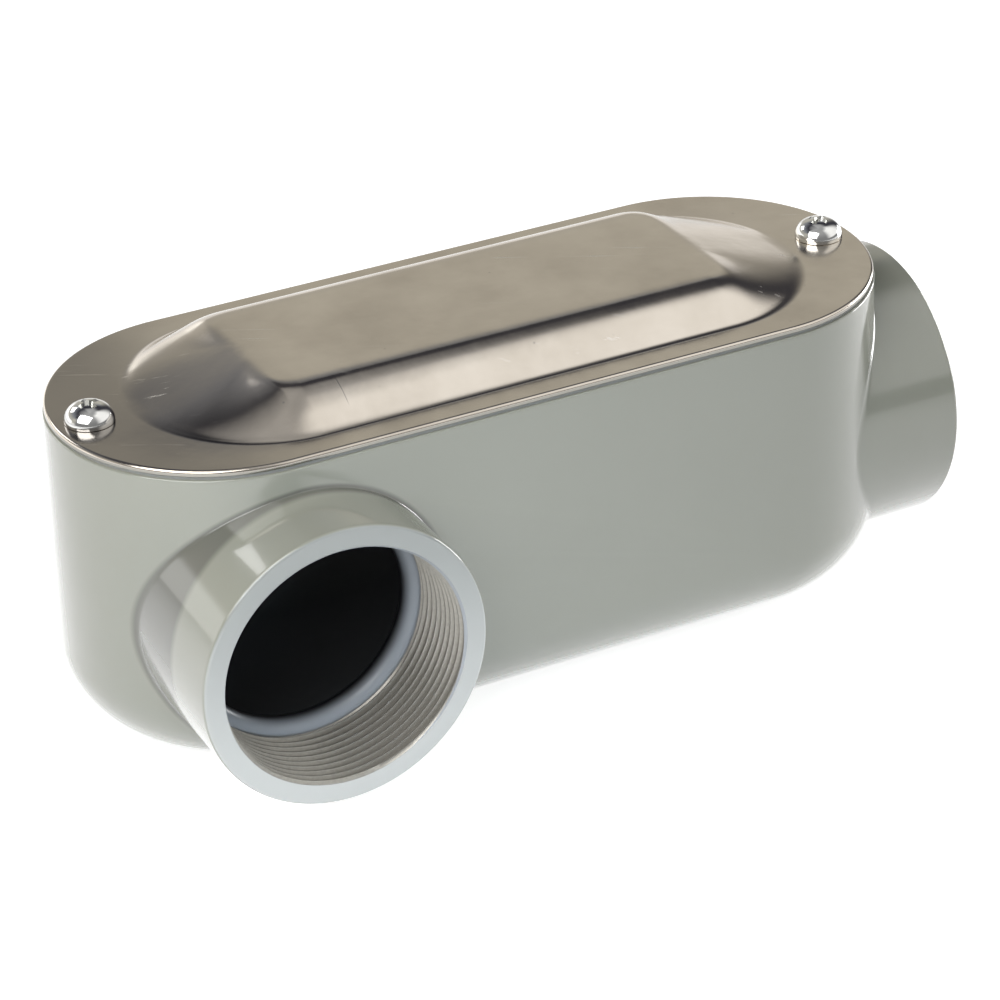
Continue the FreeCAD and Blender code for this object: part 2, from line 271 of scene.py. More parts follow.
# Glossy powder coat of the casting, paler on the side hub's face, with painted shade that darkens
# that face toward its top and painted shade as a dark ring in the corner between that hub and the
# wall. A grain or cloud is given by its size and contrast, relief by its strength and height
paintLook = {
    "base": (0.335, 0.34, 0.285),
    "shade": (0.315, 0.32, 0.265),
    "face": (0.65, 0.66, 0.63),
    # painted shade: the hub's face darkens toward its top, over the heights given below
    "faceShadedTop": (0.36, 0.375, 0.355),
    "faceEdge": (-0.0586, -0.0590),
    "faceShadeHeights": (0.012, 0.068),
    # painted shade: a dark ring in the corner between the side hub and the wall, placed by the limits below
    "corner": (0.16, 0.16, 0.135),
    "cornerShadeOutside": (0.0354, 0.0342),
    "cornerShadeInside": (0.0330, 0.0338),
    "cornerShadeDepth": (-0.0435, -0.0405),
    "cornerShadeBehind": (-0.010, -0.020),
    "hubAxis": (-0.0616, 0, 0.037),
    "roughness": (0.1, 0.17),
    "cloud": (0.05, 1.6),
    "peel": (0.0016, 1.0),
    "relief": (0.2, 0.00002),
}


def makePaint():
    look = paintLook
    material, tree, shader, where = startMaterial("castingPaint", Coat_Weight=1.0, Coat_Roughness=0.06)
    cloud = addCloud(tree, where, *look["cloud"])
    coat = mixColours(tree, cloud, look["base"], look["shade"])
    fromAxis = addNode(
        tree,
        "ShaderNodeVectorMath",
        {0: where, 1: look["hubAxis"]},
        operation="SUBTRACT",
    )
    flat = addNode(
        tree,
        "ShaderNodeVectorMath",
        {0: fromAxis.outputs[0], 1: (1, 0, 1)},
        operation="MULTIPLY",
    )
    length = addNode(tree, "ShaderNodeVectorMath", {0: flat.outputs[0]}, operation="LENGTH")
    radius = length.outputs["Value"]
    # Painted shade: a dark ring around the side hub where it meets the front wall
    outside = addRange(tree, radius, *look["cornerShadeOutside"])
    inside = addRange(tree, radius, *look["cornerShadeInside"])
    nearWall = addBand(tree, where, "Y", *look["cornerShadeDepth"])
    inFront = addBand(tree, where, "Y", *look["cornerShadeBehind"])
    corner = multiply(tree, multiply(tree, outside, inside), multiply(tree, nearWall, inFront))
    coat = blendColour(tree, corner, coat, look["corner"])
    # Painted shade: the hub's face darkens toward its top, as its light comes from the floor below
    raised = addBand(tree, where, "Z", *look["faceShadeHeights"])
    face = mixColours(tree, raised, look["face"], look["faceShadedTop"])
    coat = blendColour(tree, addBand(tree, where, "Y", *look["faceEdge"]), coat, face)
    tree.links.new(coat, shader.inputs["Base Color"])
    setRoughness(tree, shader, cloud, *look["roughness"])
    addBump(tree, shader, addCloud(tree, where, *look["peel"]), *look["relief"])
    return material


# Smooth bushing at the bottom of a hub's thread, with painted shade that darkens it toward the chamber
bushingLook = {
    "bright": (0.41, 0.43, 0.45),
    # painted shade deep in the bore, toward the chamber
    "dark": (0.012, 0.012, 0.014),
    "grain": (0.0012, 1.0),
    "roughness": (0.25, 0.4),
}


def makeBushing(name, axis, shoulder, ringEnd):
    material, tree, shader, where = startMaterial(name)
    # Painted shade: the colour fades to near black toward the chamber
    inward = addBand(tree, where, axis, shoulder, ringEnd)
    colour = mixColours(tree, inward, bushingLook["bright"], bushingLook["dark"])
    tree.links.new(colour, shader.inputs["Base Color"])
    grain = addCloud(tree, where, *bushingLook["grain"])
    setRoughness(tree, shader, grain, *bushingLook["roughness"])
    return material


# Bare cut metal of the threads
threadLook = {
    "base": (0.45, 0.435, 0.39),
    "shade": (0.34, 0.325, 0.29),
    "grain": (0.0008, 1.4),
    "roughness": (0.3, 0.45),
    "relief": (0.2, 0.00003),
}

# Near-black inside the chamber, painted shade that stands for the dark of the closed chamber
chamberShadeLook = {
    "base": (0.034, 0.037, 0.041),
    "shade": (0.048, 0.052, 0.057),
    "grain": (0.0015, 1.2),
    "roughness": (0.55, 0.75),
    "relief": (0.4, 0.0001),
}

# Bright plated steel of the screws
screwLook = {
    "base": (0.83, 0.83, 0.81),
    "shade": (0.72, 0.72, 0.71),
    "grain": (0.002, 1.5),
    "roughness": (0.05, 0.14),
}

# Grey rubber of the gasket
rubberLook = {
    "base": (0.30, 0.30, 0.28),
    "shade": (0.36, 0.36, 0.335),
    "grain": (0.001, 1.2),
    "roughness": (0.6, 0.8),
    "relief": (0.3, 0.00005),
}

# Stamped cover sheet, polished and a little stained, with painted shade on the flat parts of its left end
coverLook = {
    "base": (0.71, 0.655, 0.585),
    "stain": (0.60, 0.545, 0.475),
    # painted shade on the flat parts of the left end, placed by the limits below
    "leftEndShade": (0.34, 0.315, 0.29),
    "leftEndShadeFrom": (-0.046, -0.088),
    "leftEndShadeTilt": (0.92, 0.955),
    "sheared": (0.33, 0.32, 0.29),
    "shearedFrom": (0.07845, 0.07825),
    "scratched": (0.80, 0.76, 0.70),
    "speck": (0.42, 0.40, 0.37),
    "pressMark": {"X": (-0.0444, -0.0442, -0.0440), "Y": (-0.0285, -0.0205), "fade": 0.002},
    "cloud": (0.02, 2.2),
    "scratches": {"Turn": 0.5, "Density": 700.0},
    "speckCell": 0.0032,
    "roughness": (0.1, 0.2),
    "scratchRoughness": 0.16,
    "relief": (0.12, 0.0004),
}


def makeCoverMetal():
    look = coverLook
    material, tree, shader, where = startMaterial("coverMetal", Metallic=1.0)
    broad = addCloud(tree, where, *look["cloud"])
    sheet = mixColours(tree, broad, look["base"], look["stain"])
    facing = addNode(tree, "ShaderNodeTexCoord").outputs["Normal"]
    # Painted shade: the flat-facing parts of the left end are darkened
    level = addBand(tree, facing, "Z", *look["leftEndShadeTilt"])
    leftEndShaded = multiply(tree, level, addBand(tree, where, "X", *look["leftEndShadeFrom"]))
    sheet = blendColour(tree, leftEndShaded, sheet, look["leftEndShade"])
    scratched = placeGroup(tree, scratches, {"Vector": where, **look["scratches"]})
    sheet = blendColour(tree, scratched.outputs["Mask"], sheet, look["scratched"])
    speckled = placeGroup(tree, specks, {"Vector": where, "Cell": look["speckCell"]})
    sheet = blendColour(tree, speckled.outputs[0], sheet, look["speck"])
    sheet = blendColour(tree, addPressMark(tree, where, **look["pressMark"]), sheet, look["speck"])
    sheared = addBand(tree, where, "Z", *look["shearedFrom"])
    sheet = blendColour(tree, sheared, sheet, look["sheared"])
    tree.links.new(sheet, shader.inputs["Base Color"])
    low, high = look["roughness"]
    dull = addNode(tree, "ShaderNodeMapRange", {"Value": broad, "To Min": low, "To Max": high})
    rough = addNode(
        tree,
        "ShaderNodeMath",
        {0: scratched.outputs["Mask"], 1: look["scratchRoughness"], 2: dull.outputs[0]},
        operation="MULTIPLY_ADD",
    )
    tree.links.new(rough.outputs[0], shader.inputs["Roughness"])
    addBump(tree, shader, broad, *look["relief"])
    return material


# A thin line across the panel's front flank, fading at both ends
def addPressMark(tree, where, X, Y, fade):
    before, middle, after = X
    rising = addBand(tree, where, "X", before, middle)
    line = multiply(tree, rising, addBand(tree, where, "X", after, middle))
    low, high = Y
    start = addBand(tree, where, "Y", low, low + fade)
    return multiply(tree, line, multiply(tree, start, addBand(tree, where, "Y", high, high - fade)))


paint = makePaint()
sideBushing = makeBushing("sideBushing", "Y", -0.0364, -0.0326)
endBushing = makeBushing("endBushing", "X", 0.0905, 0.0867)
cutMetal = makeGrained("cutMetal", threadLook, Metallic=0.6)
# Painted shade: the near-black of the closed chamber
chamberShade = makeGrained("chamberShade", chamberShadeLook)
coverMetal = makeCoverMetal()
plating = makeGrained("screwPlating", screwLook, Metallic=1.0)
rubber = makeGrained("gasketRubber", rubberLook)
print("materials made")


# Mesh building

def ofKind(items, kind):
    return [item for item in items if isinstance(item, kind)]


# Grows a closed skin from ring to ring, where each row gives the place of a numbered point
def growRings(bm, segments, rows):
    numbers = bm.verts.layers.int.new("number")
    verts = bmesh.ops.create_circle(bm, segments=segments, radius=1)["verts"]
    for number, vert in enumerate(verts):
        vert[numbers] = number
    ring = list({edge for vert in verts for edge in vert.link_edges})
    for row, place in enumerate(rows):
        if row > 0:
            grown = bmesh.ops.extrude_edge_only(bm, edges=ring)["geom"]
            verts = ofKind(grown, bmesh.types.BMVert)
            ring = [edge for edge in ofKind(grown, bmesh.types.BMEdge) if edge.is_boundary]
        for vert in verts:
            vert.co = place(vert[numbers])
    fillOpenings(bm)


def fillOpenings(bm):
    bmesh.ops.holes_fill(bm, edges=[edge for edge in bm.edges if edge.is_boundary], sides=0)


# The place of a numbered point on a stadium: two half circles, each "straight" from the middle
def onStadium(segments, straight, radius, height):
    def place(number):
        angle = (number + 0.5) / segments * fullTurn
        across = math.copysign(straight, math.cos(angle)) + radius * math.cos(angle)
        return Vector((across, radius * math.sin(angle), height))

    return place


# A closed solid of stadium rings, given as (radius, height) from one end to the other
def loftStadium(bm, straight, rows, segments):
    growRings(bm, segments, [onStadium(segments, straight, *row) for row in rows])


# A solid turned about an axis from a profile of (radius, along) points
def turnProfile(bm, profile, axis, outward, steps):
    radial = outward.orthogonal().normalized()
    points = [bm.verts.new(axis + outward * along + radial * radius) for radius, along in profile]
    lines = [bm.edges.new(pair) for pair in zip(points, points[1:])]
    bmesh.ops.spin(
        bm,
        geom=points + lines,
        cent=axis,
        axis=outward,
        dvec=(0, 0, 0),
        angle=fullTurn,
        steps=steps,
        use_merge=True,
    )
    bmesh.ops.remove_doubles(bm, verts=bm.verts, dist=0.0005)
    fillOpenings(bm)


# A quarter circle of (radius, along) points about a centre, between two angles in degrees
def arcPoints(centre, size, start, end, steps):
    angles = [math.radians(start + (end - start) * step / steps) for step in range(steps + 1)]
    return [(centre[0] + size * math.cos(angle), centre[1] + size * math.sin(angle)) for angle in angles]


# A plug with a right-hand thread between two places along its axis
def turnThread(bm, thread, axis, outward, start, end):
    pitch, steps = thread["pitch"], thread["steps"]
    inner, outer = thread["inner"], thread["outer"]
    profile = [(inner, 0), (inner, 0.12), (outer, 0.5), (outer, 0.62), (inner, 1)]
    radial = outward.orthogonal().normalized()
    first = axis + outward * (start - 1.5 * pitch)
    points = [bm.verts.new(first + outward * (along * pitch) + radial * radius) for radius, along in profile]
    lines = [bm.edges.new(pair) for pair in zip(points, points[1:])]
    turns = math.ceil((end - start) / pitch) + 3
    bmesh.ops.spin(
        bm,
        geom=points + lines,
        cent=axis,
        axis=outward,
        dvec=outward * (pitch / steps),
        angle=fullTurn * turns,
        steps=steps * turns,
    )
    bmesh.ops.remove_doubles(bm, verts=bm.verts, dist=0.0005)
    for place, away in ((start, -outward), (end, outward)):
        bmesh.ops.bisect_plane(
            bm,
            geom=list(bm.verts) + list(bm.edges) + list(bm.faces),
            plane_co=axis + outward * place,
            plane_no=away,
            dist=0.0005,
            clear_outer=True,
        )


# Draws a threaded plug's points inward to a radius that depends on the place along the axis
def limitRadius(bm, axis, outward, limit):
    for vert in bm.verts:
        fromAxis = vert.co - axis
        along = fromAxis.dot(outward)
        radial = fromAxis - outward * along
        if radial.length > limit(along):
            vert.co = axis + outward * along + radial.normalized() * limit(along)


def makeSolid(name, bm, material):
    bmesh.ops.recalc_face_normals(bm, faces=bm.faces)
    mesh = bpy.data.meshes.new(name)
    bm.to_mesh(mesh)
    bm.free()
    mesh.materials.append(material)
    solid = bpy.data.objects.new(name, mesh)
    bpy.context.scene.collection.objects.link(solid)
    return solid


# Joins a tool to a solid or cuts it away, and keeps each face's own material
def combine(solid, tool, operation):
    modifier = solid.modifiers.new("combine", "BOOLEAN")
    modifier.operation = operation
    modifier.solver = "EXACT"
    modifier.material_mode = "TRANSFER"
    modifier.object = tool
    shaped = bpy.data.meshes.new_from_object(solid.evaluated_get(bpy.context.evaluated_depsgraph_get()))
    solid.modifiers.clear()
    solid.data, old = shaped, solid.data
    bpy.data.meshes.remove(old)
    bpy.data.meshes.remove(tool.data)


def finishPiece(piece, body, node, sharpAngle):
    piece.data.transform(toMetres)
    piece.data.shade_smooth()
    piece.data.set_sharp_from_angle(angle=math.radians(sharpAngle))
    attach(piece, body)
    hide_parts(node)
    print(piece.name, "made,", len(piece.data.polygons), "faces")


# Casting

castingShape = {
    "straight": 62.65,  # from the middle to the centre of each rounded end
    "rimRadius": 39.8,
    "height": 76.8,
    "draft": math.radians(0.84),
    "wallInset": 0.04,
    "baseRound": 20.0,
    "baseSteps": 14,
    "rimEdge": 0.4,
    "chamberRadius": 35.8,
    "chamberRound": 16.0,
    "floor": 4.0,
    "aboveRim": 3.0,  # how far the chamber's cutting tool runs past the rim
    "collarRadius": 33.2,
    "collarEdge": 1.0,
    "collarSegments": 96,
    "collarLength": 19.0,  # from the bushing's inner end to well inside the hub's own wall
    "segments": 200,
}
hubShape = {
    "radius": 33.9,
    "blend": 0.35,
    "wideBlend": 5.0,
    "faceEdge": 0.9,
    "arcSteps": 6,
    "threadDepth": 22.6,
    "boreRadius": 28.0,
    "throatRadius": 25.8,
    "ringLength": 6.0,
    "outerLip": 3.4,
    "innerLip": 2.4,
    "mouthRadius": 29.0,
    "mouthDepth": 1.3,
    "boreLead": 0.6,
    "boreEnd": 2.0,
    "passageRadius": 28.45,
    "passageLength": 10.0,
    "segments": 192,
}
pipeThread = {"pitch": 2.209, "inner": 28.45, "outer": 29.95, "steps": 144}
threadFade = {"atMouth": 28.9, "atShoulder": 28.95}  # the groove's radius at both of its ends
overshoot = 1.0  # how far a cutting tool runs past the surface that it opens
sideHub = {
    "name": "sideHub",
    "axis": Vector((-61.6, 0, 37)),
    "outward": Vector((0, -1, 0)),
    "face": 59.1,
    "bushing": sideBushing,
}
endHub = {
    "name": "endHub",
    "axis": Vector((0, 0, 37)),
    "outward": Vector((1, 0, 0)),
    "face": 113.2,
    "bushing": endBushing,
}
bossShape = {
    "spacing": 188.0,
    "radius": 7.5,
    "tipRadius": 3.8,
    "depth": 15.0,
    "holeRadius": 3.25,
    "holeDepth": 8.5,
    "holeTip": 0.5,
    "segments": 48,
}
sink = 0.01  # how far a joined part is set into its neighbour, so that no two faces coincide


def wallRadius(height):
    shape = castingShape
    drafted = (shape["height"] - height) * math.tan(shape["draft"])
    return shape["rimRadius"] - shape["wallInset"] + drafted


# How far a point lies outside the casting's drafted wall and rounded base
def wallDistance(point):
    beyond = max(abs(point.x) - castingShape["straight"], 0)
    aside = (math.hypot(beyond, point.y) - wallRadius(point.z)) * math.cos(castingShape["draft"])
    rounding = castingShape["baseRound"]
    across, below = aside + rounding, rounding - point.z
    return min(max(across, below), 0) + math.hypot(max(across, 0), max(below, 0)) - rounding


def buildShell():
    bm = bmesh.new()
    shape, rounding, rows = castingShape, castingShape["baseRound"], []
    for step in range(shape["baseSteps"] + 1):
        angle = step / shape["baseSteps"] * math.pi / 2
        height = rounding * (1 - math.cos(angle))
        inset = rounding * (1 - math.sin(angle)) / math.cos(shape["draft"])
        rows.append((wallRadius(height) - inset, height))
    edge, top = shape["rimEdge"], shape["height"]
    rows += arcPoints((shape["rimRadius"] - edge, top - edge), edge, 0, 90, 4)
    loftStadium(bm, shape["straight"], rows, shape["segments"])
    return makeSolid("casting_body", bm, paint)


# How a hub's skin starts inside the casting: its first point's place along and across the hub,
# its depths below the wall, its reach along the wall and its overlap with the wall
hubRoot = {"along": 2.0, "share": 0.7, "depth": 1.2, "reach": 0.3, "skirt": 0.05, "overlap": 0.004}
probeStep = 0.02
halvings = 40


# The centre of the blend between a hub and the wall at one angle, and the wall's slope there
def blendCentre(hub, radial, blend):
    low, high = 0.0, hub["face"]
    for attempt in range(halvings):
        middle = (low + high) / 2
        centre = hub["axis"] + hub["outward"] * middle + radial * (hubShape["radius"] + blend)
        low, high = (middle, high) if wallDistance(centre) < blend else (low, middle)
    probes = [Vector(unit) * probeStep for unit in ((1, 0, 0), (0, 1, 0), (0, 0, 1))]
    slope = Vector([wallDistance(centre + probe) - wallDistance(centre - probe) for probe in probes])
    return centre, slope.normalized()


# The points from inside the wall, over the blend and along the hub to its face, at one angle.
# The blend widens where hub and wall meet at a shallow angle
def hubSlice(hub, radial):
    axis, outward, root = hub["axis"], hub["outward"], hubRoot
    radius, blend, edge = hubShape["radius"], hubShape["blend"], hubShape["faceEdge"]
    centre, slope = blendCentre(hub, radial, blend)
    blend += hubShape["wideBlend"] * max(slope.dot(radial), 0) ** 2
    centre, slope = blendCentre(hub, radial, blend)
    onWall = centre - slope * (blend - root["overlap"])
    away = (radial - slope * radial.dot(slope)).normalized()
    points = [
        axis + outward * root["along"] + radial * radius * root["share"],
        onWall - slope * root["depth"],
        onWall + away * root["reach"] - slope * root["skirt"],
        onWall,
    ]
    steps = hubShape["arcSteps"]
    points += [centre - slope.slerp(radial, step / steps) * blend for step in range(1, steps + 1)]
    for across, along in arcPoints((radius - edge, hub["face"] - edge), edge, 0, 90, steps):
        points.append(axis + outward * along + radial * across)
    return points


def buildHub(hub):
    bm = bmesh.new()
    segments = hubShape["segments"]
    facing = upward.rotation_difference(hub["outward"]).to_matrix()
    turns = [number / segments * fullTurn for number in range(segments)]
    slices = [hubSlice(hub, facing @ Vector((math.cos(turn), math.sin(turn), 0))) for turn in turns]
    rows = [lambda number, row=row: slices[number][row] for row in range(len(slices[0]))]
    growRings(bm, segments, rows)
    return makeSolid(hub["name"], bm, paint)


def buildChamber():
    bm = bmesh.new()
    shape, rounding = castingShape, castingShape["chamberRound"]
    centre = (shape["chamberRadius"] - rounding, shape["floor"] + rounding)
    rows = arcPoints(centre, rounding, -90, 0, 10)
    rows.append((shape["chamberRadius"], shape["height"] + shape["aboveRim"]))
    loftStadium(bm, shape["straight"], rows, shape["segments"])
    return makeSolid("chamber", bm, chamberShade)


def buildCollar(hub):
    bm = bmesh.new()
    start = hub["face"] - hubShape["threadDepth"] - hubShape["ringLength"]
    end, radius = start + castingShape["collarLength"], castingShape["collarRadius"]
    edge = castingShape["collarEdge"]
    profile = [(0, start), (radius - edge, start), (radius, start + edge), (radius, end), (0, end)]
    turnProfile(bm, profile, hub["axis"], hub["outward"], castingShape["collarSegments"])
    # The collar takes the chamber's painted shade
    return makeSolid(hub["name"] + "Collar", bm, chamberShade)


# The way through a hub: passage, rounded throat and the space for the thread's plug
def buildWay(hub):
    bm = bmesh.new()
    shape = hubShape
    shoulder = hub["face"] - shape["threadDepth"]
    ringEnd = shoulder - shape["ringLength"]
    throat, outer, inner = shape["throatRadius"], shape["outerLip"], shape["innerLip"]
    start, face, mouth = ringEnd - shape["passageLength"], hub["face"], shape["mouthDepth"]
    profile = [(0, start), (shape["passageRadius"], start)]
    profile += arcPoints((throat + inner, ringEnd + inner), inner, -90, -180, 6)
    profile += arcPoints((throat + outer, shoulder - outer), outer, 180, 90, 8)
    bore, wide = shape["boreRadius"], shape["mouthRadius"]
    profile += [(bore, shoulder + shape["boreLead"]), (bore, face - shape["boreEnd"])]
    profile += [(wide - mouth, face - mouth), (wide + overshoot, face + overshoot)]
    profile += [(0, face + overshoot)]
    turnProfile(bm, profile, hub["axis"], hub["outward"], shape["segments"])
    return makeSolid(hub["name"] + "Way", bm, hub["bushing"])


def buildHubThread(hub):
    bm = bmesh.new()
    shoulder = hub["face"] - hubShape["threadDepth"]
    turnThread(bm, pipeThread, hub["axis"], hub["outward"], shoulder, hub["face"] + overshoot)

    def grooveRadius(along):
        fromMouth, fromShoulder = max(hub["face"] - along, 0), along - shoulder
        atMouth, atShoulder = threadFade["atMouth"] + fromMouth, threadFade["atShoulder"] + fromShoulder
        return min(pipeThread["outer"], atMouth, atShoulder)

    limitRadius(bm, hub["axis"], hub["outward"], grooveRadius)
    fillOpenings(bm)
    return makeSolid(hub["name"] + "Thread", bm, cutMetal)


def turnAtScrews(name, profile, material):
    bm = bmesh.new()
    for side in (-1, 1):
        part = bmesh.new()
        axis = Vector((side * bossShape["spacing"] / 2, 0, 0))
        turnProfile(part, profile, axis, upward, bossShape["segments"])
        mesh = bpy.data.meshes.new(name)
        part.to_mesh(mesh)
        part.free()
        bm.from_mesh(mesh)
        bpy.data.meshes.remove(mesh)
    return makeSolid(name, bm, material)


def buildCasting():
    casting = buildShell()
    for hub in (sideHub, endHub):
        combine(casting, buildHub(hub), "UNION")
    combine(casting, buildChamber(), "DIFFERENCE")
    for hub in (sideHub, endHub):
        combine(casting, buildCollar(hub), "UNION")
    top, boss = castingShape["height"], bossShape
    profile = [(0, top - boss["depth"]), (boss["tipRadius"], top - boss["depth"])]
    profile += [(boss["radius"], top - sink), (0, top - sink)]
    combine(casting, turnAtScrews("bosses", profile, paint), "UNION")
    for hub in (sideHub, endHub):
        combine(casting, buildWay(hub), "DIFFERENCE")
        combine(casting, buildHubThread(hub), "DIFFERENCE")
    bottom, above, hole = top - boss["holeDepth"], top + overshoot, boss["holeRadius"]
    profile = [(0, bottom), (hole, bottom + boss["holeTip"]), (hole, above), (0, above)]
    combine(casting, turnAtScrews("screwHoles", profile, cutMetal), "DIFFERENCE")
    finishPiece(casting, "casting", "body_casting", 35)


buildCasting()


# Cover

coverShape = {
    "straight": 62.65,
    "radius": 39.5,
    "under": 77.6,
    "sheet": 1.4,
    "rimEdge": 0.7,
    "panelStraight": 51.8,
    "panelRadius": 32.0,
    "panelHeight": 7.4,
    "flank": math.tan(math.radians(40)),
    "endFlank": math.tan(math.radians(27)),
    "rampStart": 57.2,
    "rampFall": 0.283,
    "leftShoulder": 4.2,
    "rightShoulder": 3.4,
    "cornerShoulder": 5.5,
    "foot": 0.8,
    "rampBend": 0.3,  # rounding between the plateau and a ramp
    "cornerReach": 9.0,  # over which a side's shoulder turns into the corner's
    "shoulderShare": 0.9,  # most of a ramp's height that its shoulder may take
    "lowestRamp": 0.5,
    "endwise": (0.1, 0.8),  # where a flank's slope turns into the end's
    "innerRows": (0.6, 1.6, 12),  # first radius, step and count
    "outerRows": (20.2, 0.65, 21),
    "flangeRows": (3, 1),  # from the rim inward
    "burr": 0.15,
    "underInset": math.tan(math.radians(20)),  # of the sheet, on the underside's flanks
    "underReach": 0.16,
    "underStart": 35.0,
    "holeRadius": 3.6,
    "segments": 240,
}


# The lower of two heights, rounded where they meet
def softLower(first, second, width):
    overlap = max(width - abs(first - second), 0)
    return min(first, second) - overlap * overlap / (4 * width)


# Height of the raised panel above the flange
def panelRise(x, y, inset, reach):
    shape = coverShape
    beyond = max(abs(x) - shape["panelStraight"], 0)
    fromCentre = math.hypot(beyond, y)
    endwise = softStep(beyond / max(fromCentre, 0.001), *shape["endwise"])
    flank = shape["flank"] + (shape["endFlank"] - shape["flank"]) * endwise
    ramp = shape["panelHeight"] - (abs(x) - shape["rampStart"] + reach) * shape["rampFall"]
    top = softLower(shape["panelHeight"], ramp, shape["rampBend"])
    side = shape["leftShoulder"] if x < 0 else shape["rightShoulder"]
    shoulder = side + (shape["cornerShoulder"] - side) * softStep(beyond, 0, shape["cornerReach"])
    shoulder = min(shoulder, shape["shoulderShare"] * max(ramp, shape["lowestRamp"]))
    rise = softLower((shape["panelRadius"] - inset - fromCentre) * flank, top, shoulder)
    return -softLower(-rise, 0, shape["foot"])


def softStep(value, low, high):
    share = min(max((value - low) / (high - low), 0), 1)
    return share * share * (3 - 2 * share)


def buildCover():
    bm = bmesh.new()
    shape = coverShape
    segments, edge = shape["segments"], shape["rimEdge"]
    under, top = shape["under"], shape["under"] + shape["sheet"]

    def onPanel(radius, level, inset, reach):
        outline = onStadium(segments, shape["panelStraight"], radius, level)

        def place(number):
            point = outline(number)
            point.z += panelRise(point.x, point.y, inset, reach)
            return point

        return place

    inward = []
    for first, gap, count in (shape["innerRows"], shape["outerRows"]):
        inward += [first + gap * step for step in range(count)]
    rows = [onPanel(radius, top, 0, 0) for radius in inward]
    outer, burr = shape["radius"], shape["burr"]
    rim = [(outer - away, top) for away in shape["flangeRows"]]
    rim += arcPoints((outer - edge, top - edge), edge, 90, 0, 4)
    rim += [(outer, under + burr), (outer - burr, under)]
    rows += [onStadium(segments, shape["straight"], *point) for point in rim]
    inset = shape["sheet"] * shape["underInset"]
    outward = [shape["underStart"]] + inward[::-2]
    rows += [onPanel(radius, under, inset, shape["underReach"]) for radius in outward]
    growRings(bm, segments, rows)
    cover = makeSolid("cover_pressed", bm, coverMetal)
    hole, low, high = shape["holeRadius"], under - overshoot, top + overshoot
    profile = [(0, low), (hole, low), (hole, high), (0, high)]
    combine(cover, turnAtScrews("coverHoles", profile, coverMetal), "DIFFERENCE")
    finishPiece(cover, "cover", "cover_plate", 40)


buildCover()


# Screws

screwShape = {
    "seat": 79.0,
    "length": 9.5,
    "headRadius": 5.7,
    "headHeight": 4.4,
    "skirt": 0.4,
    "fullness": 0.78,
    "recessDepth": 2.6,
    "recessWidth": 1.6,
    "recessSpan": 5.8,
    "recessLead": 0.6,  # how far the recess's tool starts above the head
    "seatEdge": (0.2, 0.15),
    "shankTip": 2.4,
    "shankOverlap": 0.5,
    "segments": 72,
}
screwThread = {"pitch": 1.27, "inner": 2.5, "outer": 3.14, "steps": 32}


def buildRecessArm(axis, turn):
    bm = bmesh.new()
    shape = screwShape
    top = shape["seat"] + shape["headHeight"] + shape["recessLead"]
    depth = shape["recessDepth"] + shape["recessLead"]
    corner = math.sqrt(0.5)
    arm = bmesh.ops.create_cone(
        bm,
        cap_ends=True,
        segments=4,
        radius1=corner * 0.5,
        radius2=corner,
        depth=depth,
    )["verts"]
    quarter = math.pi / 4
    bmesh.ops.rotate(bm, verts=arm, cent=(0, 0, 0), matrix=Matrix.Rotation(quarter, 3, "Z"))
    bmesh.ops.scale(bm, verts=arm, vec=(shape["recessSpan"], shape["recessWidth"], 1))
    bmesh.ops.rotate(bm, verts=arm, cent=(0, 0, 0), matrix=Matrix.Rotation(turn, 3, "Z"))
    bmesh.ops.translate(bm, verts=arm, vec=axis + upward * (top - depth / 2))
    return makeSolid("recess", bm, plating)


def buildScrew(name, body, node, across, turn):
    axis, shape = Vector((across, 0, 0)), screwShape
    seat, height, radius = shape["seat"], shape["headHeight"], shape["headRadius"]
    rise = height - shape["skirt"]
    inset, lift = shape["seatEdge"]
    profile = [(0, seat - sink), (radius - inset, seat - sink), (radius, seat + lift)]
    for across, along in arcPoints((0, 0), 1, 0, 90, 18)[:-1]:
        profile.append((radius * across ** shape["fullness"], seat + shape["skirt"] + rise * along))
    profile.append((0, seat + height))
    bm = bmesh.new()
    turnProfile(bm, profile, axis, upward, shape["segments"])
    screw = makeSolid(name, bm, plating)
    for arm in (turn, turn + math.pi / 2):
        combine(screw, buildRecessArm(axis, arm), "DIFFERENCE")
    bm = bmesh.new()
    tip = seat - shape["length"]
    turnThread(bm, screwThread, axis, upward, tip, seat + shape["shankOverlap"])
    pointed = shape["shankTip"]
    limitRadius(bm, axis, upward, lambda along: min(screwThread["outer"], pointed + (along - tip)))
    fillOpenings(bm)
    combine(screw, makeSolid("shank", bm, plating), "UNION")
    finishPiece(screw, body, node, 30)


screwPlace = bossShape["spacing"] / 2
buildScrew("screw_left", "screw_left", "cover_screw_left", -screwPlace, math.radians(16))
buildScrew("screw_right", "screw_right", "cover_screw_right", screwPlace, math.radians(28))


# Gasket

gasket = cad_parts["cover_gasket"]
gasket.data.materials.clear()
gasket.data.materials.append(rubber)
print("gasket dressed")


# Stage

stage = {
    "floorSize": 6.0,
    "floor": (0.8, 0.8, 0.8),
    "floorRoughness": 0.9,
    "floorDrop": 0.0005,
    "floorGlow": 0.8,
    "floorShine": 0.72,
}


